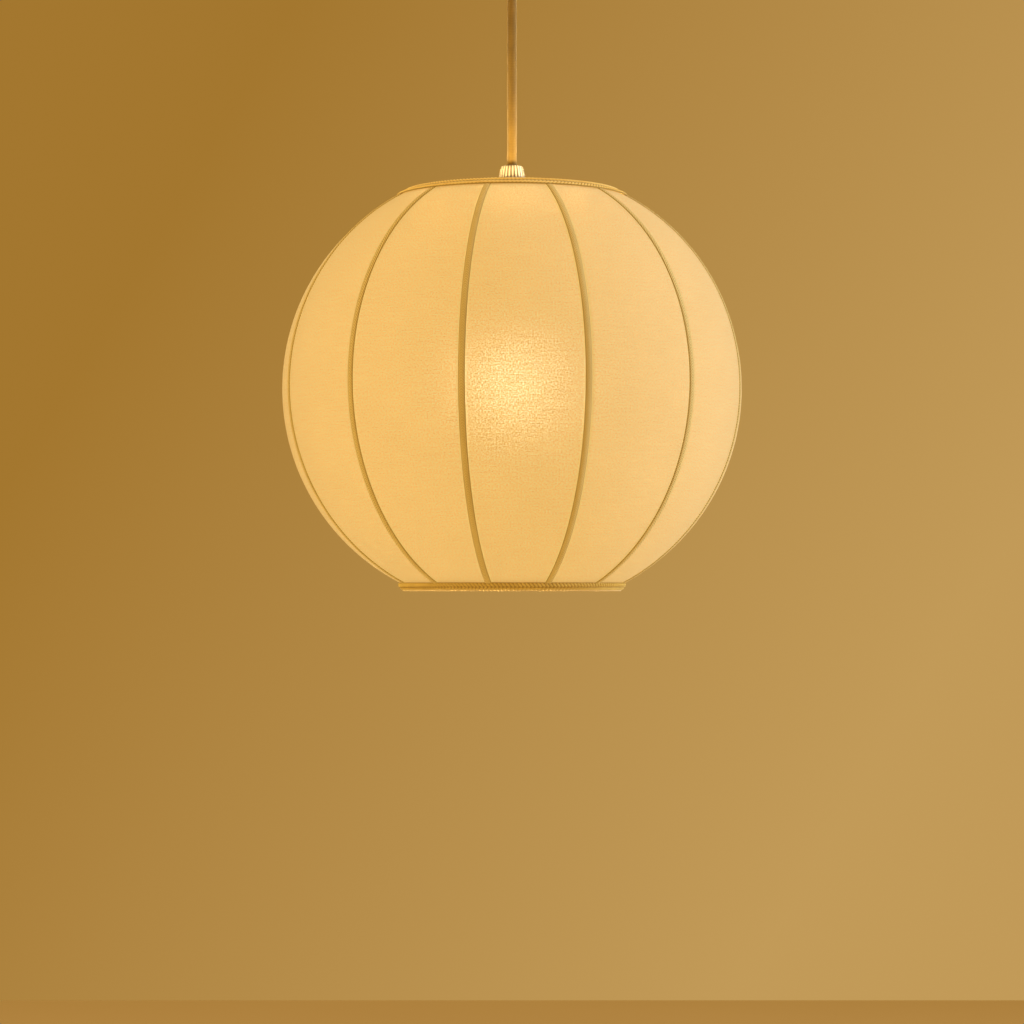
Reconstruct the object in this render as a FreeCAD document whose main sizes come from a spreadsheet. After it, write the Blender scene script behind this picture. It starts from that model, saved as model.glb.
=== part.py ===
import FreeCAD, Part
import math
import os
import re
import Sketcher
from FreeCAD import Placement, Rotation, Vector

# A globe lantern on a ceiling cord: a wire cage of two rings and twelve ribs, covered with cloth
# gores, taped over the seams and bound with braid at both rims, held by a spider on a screw-shell
# lampholder.  Millimetres, +Z up.  The origin is on the ceiling, on the axis of the cord.

document = FreeCAD.newDocument("GlobeLantern")
sheet = document.addObject("Spreadsheet::Sheet", "Sizes")

DRIVING = {
    # globe and rims
    "globe_radius": 150.0,
    "meridian_radius": 142.5,
    "top_opening_radius": 70.0,
    "bottom_opening_radius": 73.0,
    "centre_drop": 308.0,
    "cloth_thickness": 0.4,
    "seam_gap": 0.3,
    "layer_gap": 0.1,
    # wire cage
    "rib_wire_diameter": 2.4,
    "ring_wire_diameter": 3.2,
    "ring_inset": 0.5,
    # tape and braid
    "tape_width": 4.3,
    "tape_thickness": 0.8,
    "braid_thickness": 1.0,
    "top_braid_overlap": 6.2,
    "top_braid_reach": 7.0,
    "top_braid_height": 4.2,
    "bottom_braid_overlap": 1.1,
    "bottom_braid_reach": 4.5,
    "bottom_braid_height": 5.0,
    # spider
    "hub_width": 5.5,
    "hub_thickness": 2.0,
    "arm_diameter": 3.0,
    "arm_overlap": 2.0,
    # lampholder
    "holder_rise": 18.7,
    "part_gap": 0.3,
    "neck_top_radius": 7.3,
    "neck_radius": 8.4,
    "neck_height": 7.8,
    "neck_wall": 1.5,
    "neck_round": 1.4,
    "grip_depth": 4.5,
    "grip_seat": 5.0,
    "grip_wall": 2.3,
    "cap_dome_height": 15.0,
    "dome_fullness": 1.25,
    "cap_height": 32.0,
    "cap_wall": 1.8,
    "rib_depth": 0.45,
    "rib_root": 1.0,
    "rib_chamfer": 0.4,
    "skirt_radius": 19.5,
    "skirt_wall": 1.9,
    "skirt_in_cap": 8.0,
    "mouth_round": 0.6,
    "mouth_rise": 66.0,
    "ring_clearance": 0.3,
    "shade_ring_radius": 27.0,
    "shade_ring_height": 8.0,
    "shade_ring_flange": 2.5,
    "collar_step": 3.5,
    "notch_radius": 1.8,
    "block_rise": 102.0,
    "block_thickness": 8.0,
    "shell_wall": 0.4,
    "shell_lip": 1.6,
    "shell_inset": 6.0,
    "terminal_spacing": 18.0,
    "screw_radius": 1.6,
    "screw_depth": 5.0,
    "screw_head": 2.0,
    "bore_depth": 5.5,
    "strip_thickness": 0.5,
    "strip_width": 6.0,
    "strip_anchor": 9.0,
    "strip_bend": 5.5,
    "strip_heel": 3.0,
    "strip_toe": 4.0,
    "strip_bevel": 0.3,
    "tail_split": 8.0,
    "tail_landing": 2.6,
    # bulb
    "bulb_radius": 33.0,
    "bulb_centre_rise": 4.0,
    "bulb_joint_rise": 24.0,
    "bulb_wall": 1.0,
    "housing_wall": 1.5,
    "bulb_neck_radius": 13.8,
    "bulb_cap_radius": 13.2,
    "bulb_cap_rise": 71.0,
    "bulb_tip_rise": 98.0,
    "plug_inset": 1.0,
    "plug_length": 9.0,
    "housing_curve": 75.0,
    "housing_straight": 5.0,
    "cap_metal": 0.6,
    "cap_cone": 5.0,
    "cap_floor": 3.0,
    "button_radius": 4.4,
    "button_height": 1.8,
    "button_clearance": 1.6,
    "board_radius": 20.0,
    "board_thickness": 1.6,
    "board_lift": 2.0,
    "column_radius": 7.0,
    "column_foot_rise": -9.0,
    # cord
    "cord_diameter": 6.2,
    "cord_clearance": 0.05,
    "socket_clearance": 0.3,
    "core_diameter": 2.0,
    "core_offset": 1.4,
    # ceiling end
    "canopy_radius": 45.0,
    "canopy_depth": 38.0,
    "canopy_side": 14.0,
    "canopy_wall": 1.2,
    "canopy_round": 37.0,
    "outlet_radius": 5.9,
    "outlet_flange_radius": 9.5,
    "outlet_length": 9.0,
    "outlet_lip": 1.0,
    "outlet_taper": 0.4,
    "outlet_taper_height": 5.5,
    "outlet_flange": 1.6,
    "outlet_neck": 7.0,
    "ceiling_split": 12.0,
    "core_reach": 19.0,
    "core_rise": 24.0,
    "bracket_length": 80.0,
    "bracket_width": 18.0,
    "bracket_thickness": 1.5,
    "ear_depth": 13.0,
    "slot_spacing": 44.0,
    "slot_length": 9.0,
    "slot_width": 4.6,
    "side_screw_radius": 2.0,
    "side_screw_drop": 8.0,
    "side_screw_inside": 3.0,
    "side_screw_head": 2.2,
    "side_screw_dome": 0.8,
}

# Sizes that follow from the driving ones, each written with the names above it.
DERIVED = {
    "arc_offset": "globe_radius - meridian_radius",
    "top_rise": "sqrt(meridian_radius^2 - (top_opening_radius - arc_offset)^2)",
    "bottom_drop": "sqrt(meridian_radius^2 - (bottom_opening_radius - arc_offset)^2)",
    "cloth_inner": "meridian_radius - cloth_thickness",
    "ring_arc": "cloth_inner - layer_gap - ring_wire_diameter / 2",
    "top_ring_radius": "top_opening_radius - ring_inset",
    "bottom_ring_radius": "bottom_opening_radius - ring_inset",
    "top_ring_rise": "sqrt(ring_arc^2 - (top_ring_radius - arc_offset)^2)",
    "bottom_ring_drop": "sqrt(ring_arc^2 - (bottom_ring_radius - arc_offset)^2)",
    "rib_arc": "cloth_inner - layer_gap - rib_wire_diameter / 2",
    "rib_end": "asin((ring_wire_diameter / 2 + layer_gap) / rib_arc)",
    "rib_top": "asin(top_ring_rise / ring_arc) - rib_end",
    "rib_bottom": "asin(bottom_ring_drop / ring_arc) - rib_end",
    "top_braid_start": "top_opening_radius + top_braid_overlap",
    "bottom_braid_start": "bottom_opening_radius + bottom_braid_overlap",
    "braid_base": "meridian_radius + layer_gap",
    "top_braid_foot": "sqrt(braid_base^2 - (top_braid_start - arc_offset)^2)",
    "bottom_braid_foot": "sqrt(braid_base^2 - (bottom_braid_start - arc_offset)^2)",
    "tape_end": "asin(tape_thickness / meridian_radius)",
    "tape_top": "asin(top_braid_foot / braid_base) - tape_end",
    "tape_bottom": "asin(bottom_braid_foot / braid_base) - tape_end",
    "holder_top": "top_rise + holder_rise",
    "cap_bore": "skirt_radius + layer_gap",
    "cap_radius": "cap_bore + cap_wall",
    "dome_round": "dome_fullness * cap_dome_height",
    "cap_bottom": "holder_top - cap_height",
    "hub_outer_radius": "skirt_radius + hub_width",
    "cap_shoulder": "holder_top - neck_height - cap_dome_height",
    "hub_top": "cap_bottom - part_gap",
    "hub_bottom": "hub_top - hub_thickness",
    "hub_bore": "skirt_radius + 2 * ring_clearance",
    "ring_top": "hub_bottom - part_gap",
    "ring_bottom": "ring_top - shade_ring_height",
    "ring_bore": "skirt_radius + ring_clearance",
    "skirt_top": "cap_bottom + skirt_in_cap",
    "skirt_bore": "skirt_radius - skirt_wall",
    "block_radius": "skirt_bore - layer_gap",
    "block_top": "block_rise + block_thickness",
    "shell_bore": "bulb_cap_radius + part_gap",
    "shell_mouth": "mouth_rise + shell_inset",
    "cord_radius": "cord_diameter / 2",
    "cord_bore": "cord_radius + cord_clearance",
    "socket_radius": "cord_radius + socket_clearance",
    "socket_depth": "sqrt(socket_radius^2 - cord_bore^2)",
    "grip_radius": "neck_top_radius - grip_wall",
    "outlet_mouth": "canopy_depth + outlet_length",
    "cord_length": "centre_drop - holder_top - outlet_mouth",
    "joint_radius": "sqrt(bulb_radius^2 - (bulb_joint_rise - bulb_centre_rise)^2)",
    "bulb_inner": "bulb_radius - bulb_wall",
    "joint_inner": "sqrt(bulb_inner^2 - (bulb_joint_rise - bulb_centre_rise)^2)",
}

ARM_END = "top_ring_radius - ring_wire_diameter / 2 - 2 * layer_gap"
ARM_START_RISE = "hub_bottom + arm_diameter / 2"

RIBS = 12
RIB_STEP = 360 / RIBS
SPIDER_ARMS = 3
GRIP_RIBS = 24
RING_NOTCHES = 12

for row, (alias, number) in enumerate(DRIVING.items(), start=1):
    sheet.set(f"A{row}", alias)
    sheet.set(f"B{row}", str(number))
    sheet.setAlias(f"B{row}", alias)
document.recompute()


def formula(text):
    """Writes a size formula with every derived name worked back to cells of the sheet."""

    def swap(match):
        word = match.group(0)
        if word in DERIVED:
            return f"({formula(DERIVED[word])})"
        return f"Sizes.{word}" if word in DRIVING else word

    return re.sub(r"[a-z]+(?:_[a-z]+)+", swap, text)


def size(text):
    """The number that a size formula gives now."""
    answer = sheet.evalExpression(formula(str(text)))
    return float(getattr(answer, "Value", answer))


def bind(thing, name, text):
    thing.setExpression(name, formula(text))


def plane_of(body, role):
    return next(part for part in body.Origin.OriginFeatures if part.Role == role)


def new_body(name, drop="0"):
    """A body whose own zero height lies a given drop below the ceiling."""
    body = document.addObject("PartDesign::Body", name)
    body.Label = name
    bind(body, ".Placement.Base.z", f"-({drop})")
    return body


def new_sketch(body, name, role):
    sketch = body.newObject("Sketcher::SketchObject", name)
    sketch.AttachmentSupport = (plane_of(body, role), [""])
    sketch.MapMode = "FlatFace"
    return sketch


def arc_between(start, end, radius):
    """The short arc that runs anticlockwise from start to end."""
    way = end - start
    outward = Vector(way.y, -way.x, 0).normalize()
    reach = math.sqrt(max(radius * radius - way.Length**2 / 4, 0.0))
    centre = (start + end) * 0.5 - outward * reach
    return Part.Arc(start, centre + outward * radius, end)


def draw_outline(sketch, corners):
    """A closed outline of corners (x, y), or (x, y, bulge, radius) where an arc leads on."""
    points = [Vector(size(corner[0]), size(corner[1]), 0) for corner in corners]
    first = sketch.GeometryCount
    count = len(corners)
    ends = []
    for index, corner in enumerate(corners):
        start = points[index]
        end = points[(index + 1) % count]
        backward = len(corner) > 2 and corner[2] == "left"
        if backward:
            sketch.addGeometry(arc_between(end, start, size(corner[3])), False)
        elif len(corner) > 2:
            sketch.addGeometry(arc_between(start, end, size(corner[3])), False)
        else:
            sketch.addGeometry(Part.LineSegment(start, end), False)
        ends.append((2, 1) if backward else (1, 2))
    for index, corner in enumerate(corners):
        here = first + index
        after = (index + 1) % count
        join = (here, ends[index][1], first + after, ends[after][0])
        sketch.addConstraint(Sketcher.Constraint("Coincident", *join))
        for kind, text in (("DistanceX", corner[0]), ("DistanceY", corner[1])):
            number = size(text)
            if str(text) == "0":
                axis = -2 if kind == "DistanceX" else -1
                place = Sketcher.Constraint("PointOnObject", here, ends[index][0], axis)
                sketch.addConstraint(place)
                continue
            place = Sketcher.Constraint(kind, -1, 1, here, ends[index][0], number)
            key = sketch.addConstraint(place)
            bind(sketch, f"Constraints[{key}]", str(text))
        if len(corner) > 2:
            radius = Sketcher.Constraint("Radius", here, size(corner[3]))
            key = sketch.addConstraint(radius)
            bind(sketch, f"Constraints[{key}]", corner[3])


def add_turned(body, name, corners, angle="360", role="XZ_Plane", midplane=False):
    """Turns an outline about the upright axis of its sketch."""
    sketch = new_sketch(body, f"{name}_outline", role)
    draw_outline(sketch, corners)
    turned = body.newObject("PartDesign::Revolution", f"{name}_turned")
    turned.Profile = sketch
    turned.ReferenceAxis = (sketch, ["V_Axis"])
    turned.Midplane = midplane
    bind(turned, "Angle", angle)
    sketch.Visibility = False
    return turned


def turned_piece(name, corners, drop="centre_drop"):
    body = new_body(name, drop)
    add_turned(body, name, corners)
    return body


def bar(name, start, end, radius):
    """A round bar between two points given as size formulas."""
    first = Vector(*(size(text) for text in start))
    last = Vector(*(size(text) for text in end))
    rod = document.addObject("Part::Cylinder", name)
    rod.Label = name
    bind(rod, "Radius", radius)
    spans = [f"(({b}) - ({a}))^2" for a, b in zip(start, end)]
    bind(rod, "Height", f"sqrt({' + '.join(spans)})")
    rod.Placement = Placement(first, Rotation(Vector(0, 0, 1), last - first))
    return rod


def group_of(name, members):
    """Separate solids that share one node."""
    group = document.addObject("Part::Compound", name)
    group.Label = name
    group.Links = members
    return group


def numbered(name, index):
    return f"{name}_{index + 1:02d}"


# ---- cover: twelve gores, each a slice of the globe's wall -------------------------------------

def make_gore(index):
    name = numbered("gore_panel", index)
    body = new_body(name, "centre_drop")
    inner_top = "arc_offset + sqrt(cloth_inner^2 - top_rise^2)"
    inner_bottom = "arc_offset + sqrt(cloth_inner^2 - bottom_drop^2)"
    corners = [
        ("bottom_opening_radius", "-bottom_drop", "right", "meridian_radius"),
        ("top_opening_radius", "top_rise"),
        (inner_top, "top_rise", "left", "cloth_inner"),
        (inner_bottom, "-bottom_drop"),
    ]
    angle = f"{RIB_STEP} deg - asin(seam_gap / globe_radius)"
    add_turned(body, name, corners, angle=angle, midplane=True)
    body.Placement.Rotation = Rotation(Vector(0, 0, 1), (index + 0.5) * RIB_STEP)
    return body


# ---- wire cage ---------------------------------------------------------------------------------

def rib_base(azimuth):
    """The centre of a rib's arc, and the turn that stands the rib in its upright plane."""
    turn = Rotation(Vector(0, 0, 1), azimuth)
    base = turn.multVec(Vector(size("arc_offset"), 0, 0)) - Vector(0, 0, size("centre_drop"))
    return base, turn


def make_rib_wire(index):
    name = numbered("rib_wire", index)
    wire = document.addObject("Part::Torus", name)
    wire.Label = name
    bind(wire, "Radius1", "rib_arc")
    bind(wire, "Radius2", "rib_wire_diameter / 2")
    bind(wire, "Angle3", "rib_top + rib_bottom")
    base, turn = rib_base(index * RIB_STEP)
    upright = Rotation(Vector(1, 0, 0), 90)
    start = Rotation(Vector(0, 0, 1), -size("rib_bottom"))
    wire.Placement = Placement(base, turn * upright * start)
    return wire


def make_ring(name, radius, rise):
    ring = document.addObject("Part::Torus", name)
    ring.Label = name
    bind(ring, "Radius1", radius)
    bind(ring, "Radius2", "ring_wire_diameter / 2")
    bind(ring, ".Placement.Base.z", f"{rise} - centre_drop")
    return ring


# ---- tapes over the seams and braids round the rims --------------------------------------------

def make_rib_tape(index):
    name = numbered("rib_tape", index)
    body = new_body(name, "centre_drop")
    inside = "meridian_radius + layer_gap"
    outside = "meridian_radius + layer_gap + tape_thickness"
    corners = [
        (inside, "-tape_width / 2"),
        (outside, "-tape_width / 2"),
        (outside, "tape_width / 2"),
        (inside, "tape_width / 2"),
    ]
    add_turned(body, name, corners, angle="tape_top + tape_bottom", role="XY_Plane")
    base, turn = rib_base(index * RIB_STEP)
    body.Placement = Placement(base, turn * Rotation(Vector(0, 1, 0), -size("tape_top")))
    return body


def make_braid(name, start, foot, reach, height, side):
    """A flat braid that leans inward from the cover past the rim, as a strip turned once round."""
    slant = f"sqrt({reach}^2 + {height}^2)"
    across = f"braid_thickness * {height} / {slant}"
    along = f"braid_thickness * {reach} / {slant}"
    foot_height = f"{side} * {foot}"
    tip_height = f"{side} * ({foot} + {height})"
    corners = [
        (start, foot_height),
        (f"{start} + {across}", f"{foot_height} + {side} * {along}"),
        (f"{start} - {reach} + {across}", f"{tip_height} + {side} * {along}"),
        (f"{start} - {reach}", tip_height),
    ]
    return turned_piece(name, corners)


# ---- spider: a hub plate with three arms welded to it ------------------------------------------

def make_spider():
    hub = document.addObject("Part::Cylinder", "spider_plate")
    bind(hub, "Radius", "hub_outer_radius")
    bind(hub, "Height", "hub_thickness")
    bind(hub, ".Placement.Base.z", "hub_bottom - centre_drop")
    arms = []
    near = size("hub_outer_radius - arm_overlap")
    far = size(ARM_END)
    low = size(f"{ARM_START_RISE} - centre_drop")
    high = size("top_ring_rise - centre_drop")
    for index in range(SPIDER_ARMS):
        turn = Rotation(Vector(0, 0, 1), 90 + index * 360 / SPIDER_ARMS)
        first = turn.multVec(Vector(near, 0, low))
        last = turn.multVec(Vector(far, 0, high))
        arm = document.addObject("Part::Cylinder", numbered("spider_arm", index))
        bind(arm, "Radius", "arm_diameter / 2")
        span = f"({ARM_END} - hub_outer_radius + arm_overlap)^2"
        bind(arm, "Height", f"sqrt({span} + (top_ring_rise - ({ARM_START_RISE}))^2)")
        arm.Placement = Placement(first, Rotation(Vector(0, 0, 1), last - first))
        arms.append(arm)
    welded = document.addObject("Part::MultiFuse", "spider_welded")
    welded.Shapes = [hub] + arms
    bore = document.addObject("Part::Cylinder", "spider_bore")
    bind(bore, "Radius", "hub_bore")
    bind(bore, "Height", "hub_thickness + 4 * arm_diameter")
    bind(bore, ".Placement.Base.z", "hub_bottom - 2 * arm_diameter - centre_drop")
    spider = document.addObject("Part::Cut", "spider")
    spider.Label = "spider"
    spider.Base = welded
    spider.Tool = bore
    return spider


# ---- lampholder --------------------------------------------------------------------------------

def make_lampholder_cap():
    body = new_body("lampholder_cap", "centre_drop")
    grip_bore = "grip_radius + layer_gap"
    grip_floor = "holder_top - neck_height - grip_seat"
    corners = [
        (grip_bore, "holder_top"),
        ("neck_top_radius - neck_round", "holder_top", "left", "neck_round"),
        ("neck_top_radius", "holder_top - neck_round"),
        ("neck_radius", "holder_top - neck_height", "left", "dome_round"),
        ("cap_radius", "cap_shoulder"),
        ("cap_radius", "cap_bottom"),
        ("cap_bore", "cap_bottom"),
        ("cap_bore", "cap_shoulder", "right", "dome_round - cap_wall"),
        ("neck_radius - neck_wall", grip_floor),
        (grip_bore, grip_floor),
    ]
    add_turned(body, "lampholder_cap", corners)
    rib_start = "holder_top - neck_round - rib_chamfer"
    rib_foot = "holder_top - neck_height - rib_chamfer"
    rib_corners = [
        ("neck_top_radius - rib_root", rib_start),
        ("neck_top_radius + rib_depth", f"{rib_start} - rib_chamfer"),
        ("neck_radius + rib_depth", rib_foot),
        ("neck_radius - rib_root", rib_foot),
    ]
    rib = add_turned(body, "grip_rib", rib_corners, angle=f"{180 / GRIP_RIBS}", midplane=True)
    ribs = body.newObject("PartDesign::PolarPattern", "grip_ribs")
    ribs.Originals = [rib]
    ribs.Axis = (plane_of(body, "Z_Axis"), [""])
    ribs.Angle = 360
    ribs.Occurrences = GRIP_RIBS
    body.Tip = ribs
    return body


def make_cord_grip():
    depth = "holder_top - neck_height - grip_depth"
    corners = [
        ("cord_bore", depth),
        ("grip_radius", depth),
        ("grip_radius", "holder_top"),
        ("socket_radius", "holder_top", "left", "socket_radius"),
        ("cord_bore", "holder_top - socket_depth"),
    ]
    return turned_piece("cord_grip", corners)


def make_skirt():
    corners = [
        ("skirt_bore", "mouth_rise"),
        ("skirt_radius - mouth_round", "mouth_rise", "right", "mouth_round"),
        ("skirt_radius", "mouth_rise + mouth_round"),
        ("skirt_radius", "skirt_top"),
        ("skirt_bore", "skirt_top"),
    ]
    return turned_piece("lampholder_skirt", corners)


def make_shade_ring():
    """The ring nut under the spider: a flange with finger notches and a narrower collar."""
    body = new_body("shade_ring", "centre_drop")
    collar = "shade_ring_radius - collar_step"
    corners = [
        ("ring_bore", "ring_bottom"),
        (collar, "ring_bottom"),
        (collar, "ring_top - shade_ring_flange"),
        ("shade_ring_radius", "ring_top - shade_ring_flange"),
        ("shade_ring_radius", "ring_top"),
        ("ring_bore", "ring_top"),
    ]
    add_turned(body, "shade_ring", corners)
    document.recompute()
    before = body.Shape.Volume
    sketch = new_sketch(body, "ring_notch_outline", "XY_Plane")
    bind(sketch, ".AttachmentOffset.Base.z", "ring_top")
    centre = Vector(size("shade_ring_radius"), 0, 0)
    circle = Part.Circle(centre, Vector(0, 0, 1), size("notch_radius"))
    sketch.addGeometry(circle, False)
    sketch.addConstraint(Sketcher.Constraint("PointOnObject", 0, 3, -1))
    key = sketch.addConstraint(Sketcher.Constraint("DistanceX", -1, 1, 0, 3, centre.x))
    bind(sketch, f"Constraints[{key}]", "shade_ring_radius")
    key = sketch.addConstraint(Sketcher.Constraint("Radius", 0, size("notch_radius")))
    bind(sketch, f"Constraints[{key}]", "notch_radius")
    notch = body.newObject("PartDesign::Pocket", "ring_notch")
    notch.Profile = sketch
    bind(notch, "Length", "shade_ring_flange")
    notches = body.newObject("PartDesign::PolarPattern", "ring_notches")
    notches.Originals = [notch]
    notches.Axis = (plane_of(body, "Z_Axis"), [""])
    notches.Angle = 360
    notches.Occurrences = RING_NOTCHES
    body.Tip = notches
    sketch.Visibility = False
    document.recompute()
    if body.Shape.Volume >= before:
        raise RuntimeError("the shade ring's notches cut nothing")
    return body


def make_contact_block():
    """The insulating disc with a bore for each terminal screw."""
    disc = document.addObject("Part::Cylinder", "block_disc")
    bind(disc, "Radius", "block_radius")
    bind(disc, "Height", "block_thickness")
    bind(disc, ".Placement.Base.z", "block_rise - centre_drop")
    bores = []
    for side in (-1, 1):
        bore = document.addObject("Part::Cylinder", f"block_bore_{side + 2}")
        bind(bore, "Radius", "screw_radius + layer_gap")
        bind(bore, "Height", "block_thickness")
        bind(bore, ".Placement.Base.x", f"{side} * terminal_spacing / 2")
        bind(bore, ".Placement.Base.z", "block_top - bore_depth - centre_drop")
        bores.append(bore)
    both = document.addObject("Part::Compound", "block_bores")
    both.Links = bores
    block = document.addObject("Part::Cut", "contact_block")
    block.Label = "contact_block"
    block.Base = disc
    block.Tool = both
    return block


def make_screw_shell():
    outer = "shell_bore + shell_wall"
    corners = [
        ("shell_bore", "shell_mouth"),
        ("shell_bore + shell_lip", "shell_mouth"),
        ("shell_bore + shell_lip", "shell_mouth + shell_wall"),
        (outer, "shell_mouth + shell_wall"),
        (outer, "block_rise - layer_gap"),
        ("shell_bore", "block_rise - layer_gap"),
    ]
    return turned_piece("screw_shell", corners)


def make_centre_contact():
    """A bent brass spring under the block that presses on the bulb's tip."""
    body = new_body("centre_contact", "centre_drop")
    sketch = new_sketch(body, "centre_contact_outline", "XZ_Plane")
    low = "bulb_tip_rise + layer_gap"
    high = "block_rise - layer_gap"
    corners = [
        ("-strip_anchor", f"{high} - strip_thickness"),
        ("-strip_bend", f"{high} - strip_thickness"),
        ("-strip_heel", low),
        ("strip_toe", low),
        ("strip_toe", f"{low} + strip_thickness"),
        ("-strip_heel + strip_bevel", f"{low} + strip_thickness"),
        ("-strip_bend + strip_bevel", high),
        ("-strip_anchor", high),
    ]
    draw_outline(sketch, corners)
    strip_pad = body.newObject("PartDesign::Pad", "centre_contact_strip")
    strip_pad.Profile = sketch
    strip_pad.SideType = "Symmetric"
    bind(strip_pad, "Length", "strip_width")
    sketch.Visibility = False
    return body


def make_terminal_screws():
    screws = []
    for side in (-1, 1):
        profile = [
            ("0", "block_top - screw_depth"),
            ("screw_radius", "block_top - screw_depth"),
            ("screw_radius", "block_top + layer_gap"),
            ("2 * screw_radius", "block_top + layer_gap"),
            ("2 * screw_radius", "block_top + screw_head"),
            ("0", "block_top + screw_head"),
        ]
        screw = turned_piece(f"terminal_screw_{side + 2}", profile)
        bind(screw, ".Placement.Base.x", f"{side} * terminal_spacing / 2")
        screws.append(screw)
    return group_of("terminal_screws", screws)


def make_cord_tail():
    """The cord's stripped end inside the cap: the sheath, then a core to each terminal."""
    top = "holder_top - socket_radius - layer_gap - centre_drop"
    split = "holder_top - neck_height - tail_split - centre_drop"
    landing = "block_top + tail_landing + core_diameter / 2 - centre_drop"
    members = [bar("cord_tail_sheath", ("0", "0", split), ("0", "0", top), "cord_radius")]
    for side in (-1, 1):
        start = (f"{side} * core_offset", "0", f"{split} - core_offset")
        end = (f"{side} * terminal_spacing / 2", "0", landing)
        members.append(bar(f"cord_tail_core_{side + 2}", start, end, "core_diameter / 2"))
    return group_of("cord_tail", members)


# ---- bulb --------------------------------------------------------------------------------------

def make_bulb_globe():
    corners = [
        ("0", "bulb_centre_rise - bulb_radius", "right", "bulb_radius"),
        ("bulb_radius", "bulb_centre_rise", "right", "bulb_radius"),
        ("joint_radius", "bulb_joint_rise"),
        ("joint_inner", "bulb_joint_rise", "left", "bulb_inner"),
        ("bulb_inner", "bulb_centre_rise", "left", "bulb_inner"),
        ("0", "bulb_centre_rise - bulb_inner"),
    ]
    return turned_piece("bulb_globe", corners)


def make_bulb_housing():
    """The moulded neck between the glass globe and the screw cap, open at both ends."""
    foot = "bulb_joint_rise + layer_gap"
    plug = "bulb_cap_radius - plug_inset"
    shoulder = "bulb_cap_rise - layer_gap"
    corners = [
        ("joint_radius", foot, "left", "housing_curve"),
        ("bulb_neck_radius", "bulb_cap_rise - housing_straight"),
        ("bulb_neck_radius", shoulder),
        (plug, shoulder),
        (plug, "bulb_cap_rise + plug_length"),
        (f"{plug} - housing_wall", "bulb_cap_rise + plug_length"),
        (f"{plug} - housing_wall", "bulb_cap_rise - housing_straight", "right", "housing_curve"),
        ("joint_radius - housing_wall", foot),
    ]
    return turned_piece("bulb_housing", corners)


def make_led_board():
    """The light engine: a round board across the neck, and the column of diodes below it."""
    base = "bulb_joint_rise + board_lift"
    corners = [
        ("0", "column_foot_rise"),
        ("column_radius", "column_foot_rise"),
        ("column_radius", base),
        ("board_radius", base),
        ("board_radius", f"{base} + board_thickness"),
        ("0", f"{base} + board_thickness"),
    ]
    return turned_piece("led_board", corners)


def make_bulb_cap():
    """The screw cap: a thin metal cup with the insulator and the contact button at its end."""
    inner = "bulb_cap_radius - cap_metal"
    floor = "bulb_tip_rise - cap_floor"
    button_foot = "bulb_tip_rise - button_height"
    corners = [
        (inner, "bulb_cap_rise"),
        ("bulb_cap_radius", "bulb_cap_rise"),
        ("bulb_cap_radius", "bulb_tip_rise - cap_cone"),
        ("button_radius + button_clearance", button_foot),
        ("button_radius", button_foot),
        ("button_radius", "bulb_tip_rise"),
        ("0", "bulb_tip_rise"),
        ("0", floor),
        ("button_radius + 2 * cap_metal", floor),
        (inner, "bulb_tip_rise - cap_cone - 2 * cap_metal"),
    ]
    return turned_piece("bulb_cap", corners)


# ---- cord and ceiling end ----------------------------------------------------------------------

def make_pendant_cord():
    """The straight cord, with a round end in the socket at each end of it."""
    top = "-outlet_mouth"
    foot = "-outlet_mouth - cord_length"
    corners = [
        ("0", f"{foot} - cord_radius", "right", "cord_radius"),
        ("cord_radius", foot),
        ("cord_radius", top, "right", "cord_radius"),
        ("0", f"{top} + cord_radius"),
    ]
    return turned_piece("pendant_cord", corners, drop="0")


def make_canopy():
    body = new_body("canopy")
    hole = "outlet_radius + layer_gap"
    flat = "canopy_radius / 3"
    corners = [
        ("canopy_radius - canopy_wall", "0"),
        ("canopy_radius - canopy_wall", "-canopy_side", "left", "canopy_round - canopy_wall"),
        (flat, "-canopy_depth + canopy_wall"),
        (hole, "-canopy_depth + canopy_wall"),
        (hole, "-canopy_depth"),
        (flat, "-canopy_depth", "right", "canopy_round"),
        ("canopy_radius", "-canopy_side"),
        ("canopy_radius", "0"),
    ]
    add_turned(body, "canopy", corners)
    document.recompute()
    before = body.Shape.Volume
    sketch = new_sketch(body, "canopy_screw_hole", "YZ_Plane")
    drop = -size("side_screw_drop")
    hole_radius = "side_screw_radius + part_gap"
    sketch.addGeometry(Part.Circle(Vector(0, drop, 0), Vector(0, 0, 1), size(hole_radius)), False)
    sketch.addConstraint(Sketcher.Constraint("PointOnObject", 0, 3, -2))
    key = sketch.addConstraint(Sketcher.Constraint("DistanceY", -1, 1, 0, 3, drop))
    bind(sketch, f"Constraints[{key}]", "-side_screw_drop")
    key = sketch.addConstraint(Sketcher.Constraint("Radius", 0, size(hole_radius)))
    bind(sketch, f"Constraints[{key}]", hole_radius)
    holes = body.newObject("PartDesign::Pocket", "canopy_screw_holes")
    holes.Profile = sketch
    holes.SideType = "Symmetric"
    bind(holes, "Length", "3 * canopy_radius")
    sketch.Visibility = False
    document.recompute()
    if body.Shape.Volume >= before:
        raise RuntimeError("the canopy's screw holes cut nothing")
    return body


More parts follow.
